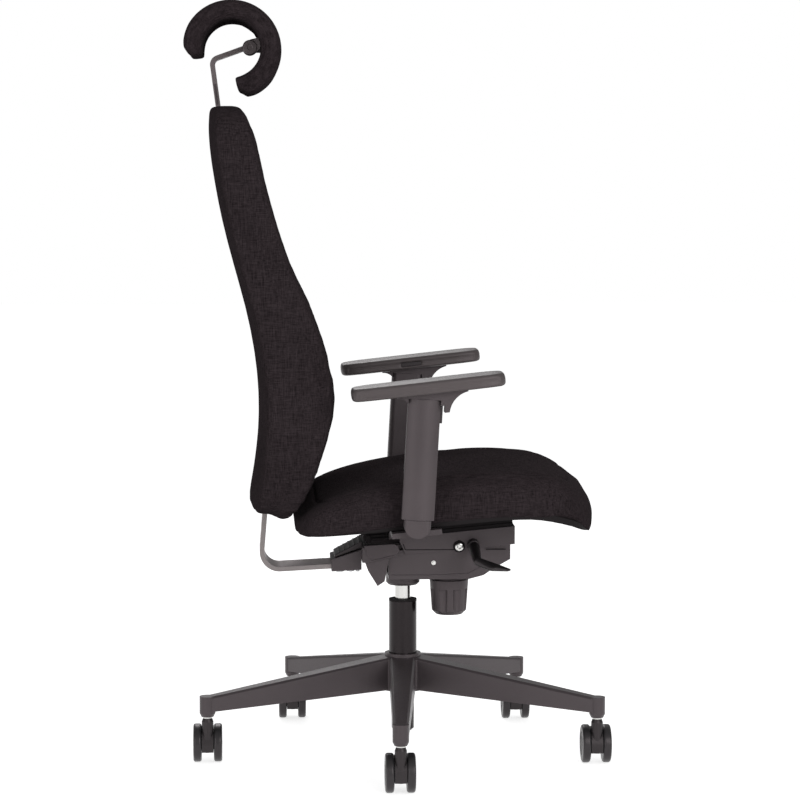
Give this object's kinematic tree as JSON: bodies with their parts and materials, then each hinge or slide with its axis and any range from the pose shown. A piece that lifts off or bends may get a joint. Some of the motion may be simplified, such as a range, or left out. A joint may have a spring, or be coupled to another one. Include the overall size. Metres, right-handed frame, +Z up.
{
  "type": "ergonomic office chair",
  "caption": "High-backed ergonomic office chair with a C-shaped headrest, flat steel back bar, adjustable arms, sliding seat and a star base on twin-wheel casters.",
  "frame": {"origin": "on the floor, on the axis of the column", "axes": "+X forward, +Y to the sitter's left, +Z up"},
  "size_m": [0.7181, 0.7058, 1.2905],
  "materials": {
    "fabric": "woven, nearly black",
    "black_plastic": "fine matte",
    "grey_plastic": "fine matte, anthracite",
    "grey_metal": "powder coat, anthracite",
    "base_metal": "powder coat, anthracite",
    "bar_paint": "satin metallic grey",
    "column_paint": "gloss black",
    "steel": "zinc plated",
    "chrome": "bright",
    "pad": "soft polyurethane, warm grey",
    "wheel": "hard tread"
  },
  "bodies": {
    "base": {"star_base": "base_metal", "caster_stems": "chrome", "column_tube": "column_paint", "column_guide": "black_plastic", "thrust_bearing": "steel"},
    "spindle": {"gas_rod": "chrome", "rod_clip": "steel"},
    "lift": {"gas_cylinder": "chrome", "mechanism_housing": "grey_metal", "pivot_axle": "chrome", "pivot_pin": "chrome", "tilt_spring": "steel"},
    "release_button": {"release_button": "steel"},
    "release_slide": {"release_slide": "steel"},
    "height_lever": {"height_lever": "black_plastic"},
    "lock_lever": {"lock_lever": "black_plastic"},
    "tension_knob": {"tension_knob": "grey_plastic"},
    "seat": {"seat_carrier": "grey_metal", "seat_rails": "black_plastic", "arm_bracket_left": "grey_metal", "arm_bracket_right": "grey_metal", "arm_bolts": "steel", "arm_post_left": "grey_plastic", "arm_post_right": "grey_plastic"},
    "seat_slide": {"seat_pan": "black_plastic", "seat_cushion": "fabric"},
    "back": {"back_carrier": "grey_metal", "bar_clamp": "grey_metal", "back_bar": "bar_paint", "bar_bolts": "steel"},
    "backrest": {"back_shell": "black_plastic", "back_cushion": "fabric", "back_cover": "fabric", "bar_guide": "black_plastic", "headrest_guide": "black_plastic"},
    "mast": {"headrest_bar": "bar_paint", "headrest_knuckle": "black_plastic"},
    "headrest": {"headrest_core": "black_plastic", "headrest_pin": "steel", "headrest_pad": "fabric"},
    "arm_left": {"arm_sleeve_left": "grey_plastic", "pad_base_left": "grey_plastic"},
    "trigger_left": {"arm_trigger_left": "black_plastic"},
    "pad_left": {"arm_pad_left": "pad"},
    "pad_button_left": {"pad_button_left": "black_plastic"},
    "arm_right": {"arm_sleeve_right": "grey_plastic", "pad_base_right": "grey_plastic"},
    "trigger_right": {"arm_trigger_right": "black_plastic"},
    "pad_right": {"arm_pad_right": "pad"},
    "pad_button_right": {"pad_button_right": "black_plastic"},
    "caster_1": {"caster_1_housing": "black_plastic"},
    "wheels_1": {"caster_1_wheels": "wheel"},
    "caster_2": {"caster_2_housing": "black_plastic"},
    "wheels_2": {"caster_2_wheels": "wheel"},
    "caster_3": {"caster_3_housing": "black_plastic"},
    "wheels_3": {"caster_3_wheels": "wheel"},
    "caster_4": {"caster_4_housing": "black_plastic"},
    "wheels_4": {"caster_4_wheels": "wheel"},
    "caster_5": {"caster_5_housing": "black_plastic"},
    "wheels_5": {"caster_5_wheels": "wheel"}
  },
  "joints": [
    {"name": "seat_swivel", "type": "hinge", "parent": "base", "child": "spindle", "pos_m": [0, 0, 0.2], "axis": [0, 0, 1], "continuous": true},
    {"name": "seat_height", "type": "slide", "parent": "spindle", "child": "lift", "axis": [0, 0, 1], "range_m": [-0.021, 0.09]},
    {"name": "height_lever", "type": "hinge", "parent": "lift", "child": "height_lever", "pos_m": [0.116, 0, 0.371], "axis": [0, -1, 0], "range_deg": [0, 15], "stiffness_Nm_per_rad": 2, "springref_deg": -8.59},
    {"name": "release_slide", "type": "slide", "parent": "lift", "child": "release_slide", "axis": [1, 0, 0], "range_m": [0, 0.0034]},
    {"name": "release_button", "type": "slide", "parent": "lift", "child": "release_button", "axis": [0, 0, -1], "range_m": [0, 0.0034]},
    {"name": "lock_lever", "type": "hinge", "parent": "lift", "child": "lock_lever", "pos_m": [0.01, 0, 0.328], "axis": [0, 1, 0], "range_deg": [-12, 0]},
    {"name": "tension_knob", "type": "hinge", "parent": "lift", "child": "tension_knob", "pos_m": [0.08, 0, 0.3], "axis": [0, 0, 1], "continuous": true},
    {"name": "back_tilt", "type": "hinge", "parent": "lift", "child": "back", "pos_m": [0.049, 0, 0.339], "axis": [0, -1, 0], "range_deg": [0, 18], "stiffness_Nm_per_rad": 70, "springref_deg": -31.51, "deforming": ["tilt_spring"]},
    {"name": "seat_tilt", "type": "hinge", "parent": "lift", "child": "seat", "pos_m": [0.092, 0, 0.368], "axis": [0, -1, 0], "range_deg": [0, 7.5]},
    {"name": "seat_slide", "type": "slide", "parent": "seat", "child": "seat_slide", "axis": [0.9957, 0, 0.0924], "range_m": [0, 0.05]},
    {"name": "back_height", "type": "slide", "parent": "back", "child": "backrest", "axis": [0.0802, 0, 0.9968], "range_m": [0, 0.06]},
    {"name": "headrest_height", "type": "slide", "parent": "backrest", "child": "mast", "axis": [-0.1305, 0, 0.9914], "range_m": [0, 0.05]},
    {"name": "headrest_tilt", "type": "hinge", "parent": "mast", "child": "headrest", "pos_m": [-0.26, 0, 1.2155], "axis": [0, -1, 0], "range_deg": [-20, 20]},
    {"name": "arm_height_left", "type": "slide", "parent": "seat", "child": "arm_left", "axis": [0.0558, 0, 0.9984], "range_m": [0, 0.09]},
    {"name": "arm_trigger_left", "type": "slide", "parent": "arm_left", "child": "trigger_left", "axis": [-0.9984, 0, 0.0558], "range_m": [0, 0.0035], "stiffness_N_per_m": 800},
    {"name": "pad_slide_left", "type": "slide", "parent": "arm_left", "child": "pad_left", "axis": [0.9942, 0, 0.108], "range_m": [-0.025, 0.025]},
    {"name": "pad_button_left", "type": "slide", "parent": "pad_left", "child": "pad_button_left", "axis": [0, 1, 0], "range_m": [0, 0.0012], "stiffness_N_per_m": 800},
    {"name": "arm_height_right", "type": "slide", "parent": "seat", "child": "arm_right", "axis": [0.0558, 0, 0.9984], "range_m": [0, 0.09]},
    {"name": "arm_trigger_right", "type": "slide", "parent": "arm_right", "child": "trigger_right", "axis": [-0.9984, 0, 0.0558], "range_m": [0, 0.0035], "stiffness_N_per_m": 800},
    {"name": "pad_slide_right", "type": "slide", "parent": "arm_right", "child": "pad_right", "axis": [0.9942, 0, 0.108], "range_m": [-0.025, 0.025]},
    {"name": "pad_button_right", "type": "slide", "parent": "pad_right", "child": "pad_button_right", "axis": [0, -1, 0], "range_m": [0, 0.0012], "stiffness_N_per_m": 800},
    {"name": "caster_swivel_1", "type": "hinge", "parent": "base", "child": "caster_1", "pos_m": [-0.02124, -0.34735, 0.06], "axis": [0, 0, 1], "continuous": true},
    {"name": "caster_roll_1", "type": "hinge", "parent": "caster_1", "child": "wheels_1", "pos_m": [-0.02124, -0.32935, 0.0325], "axis": [1, 0, 0], "continuous": true},
    {"name": "caster_swivel_2", "type": "hinge", "parent": "base", "child": "caster_2", "pos_m": [0.32378, -0.12754, 0.06], "axis": [0, 0, 1], "continuous": true},
    {"name": "caster_roll_2", "type": "hinge", "parent": "caster_2", "child": "wheels_2", "pos_m": [0.32378, -0.10954, 0.0325], "axis": [1, 0, 0], "continuous": true},
    {"name": "caster_swivel_3", "type": "hinge", "parent": "base", "child": "caster_3", "pos_m": [0.22135, 0.26853, 0.06], "axis": [0, 0, 1], "continuous": true},
    {"name": "caster_roll_3", "type": "hinge", "parent": "caster_3", "child": "wheels_3", "pos_m": [0.22135, 0.28652, 0.0325], "axis": [1, 0, 0], "continuous": true},
    {"name": "caster_swivel_4", "type": "hinge", "parent": "base", "child": "caster_4", "pos_m": [-0.18698, 0.2935, 0.06], "axis": [0, 0, 1], "continuous": true},
    {"name": "caster_roll_4", "type": "hinge", "parent": "caster_4", "child": "wheels_4", "pos_m": [-0.18698, 0.3115, 0.0325], "axis": [1, 0, 0], "continuous": true},
    {"name": "caster_swivel_5", "type": "hinge", "parent": "base", "child": "caster_5", "pos_m": [-0.33692, -0.08713, 0.06], "axis": [0, 0, 1], "continuous": true},
    {"name": "caster_roll_5", "type": "hinge", "parent": "caster_5", "child": "wheels_5", "pos_m": [-0.33692, -0.06913, 0.0325], "axis": [1, 0, 0], "continuous": true}
  ],
  "couplings": [
    {"joint": "release_slide", "follows": "height_lever", "m_per_rad": 0.0127},
    {"joint": "release_button", "follows": "height_lever", "m_per_rad": 0.0127},
    {"joint": "seat_tilt", "follows": "back_tilt", "ratio": 0.4}
  ]
}
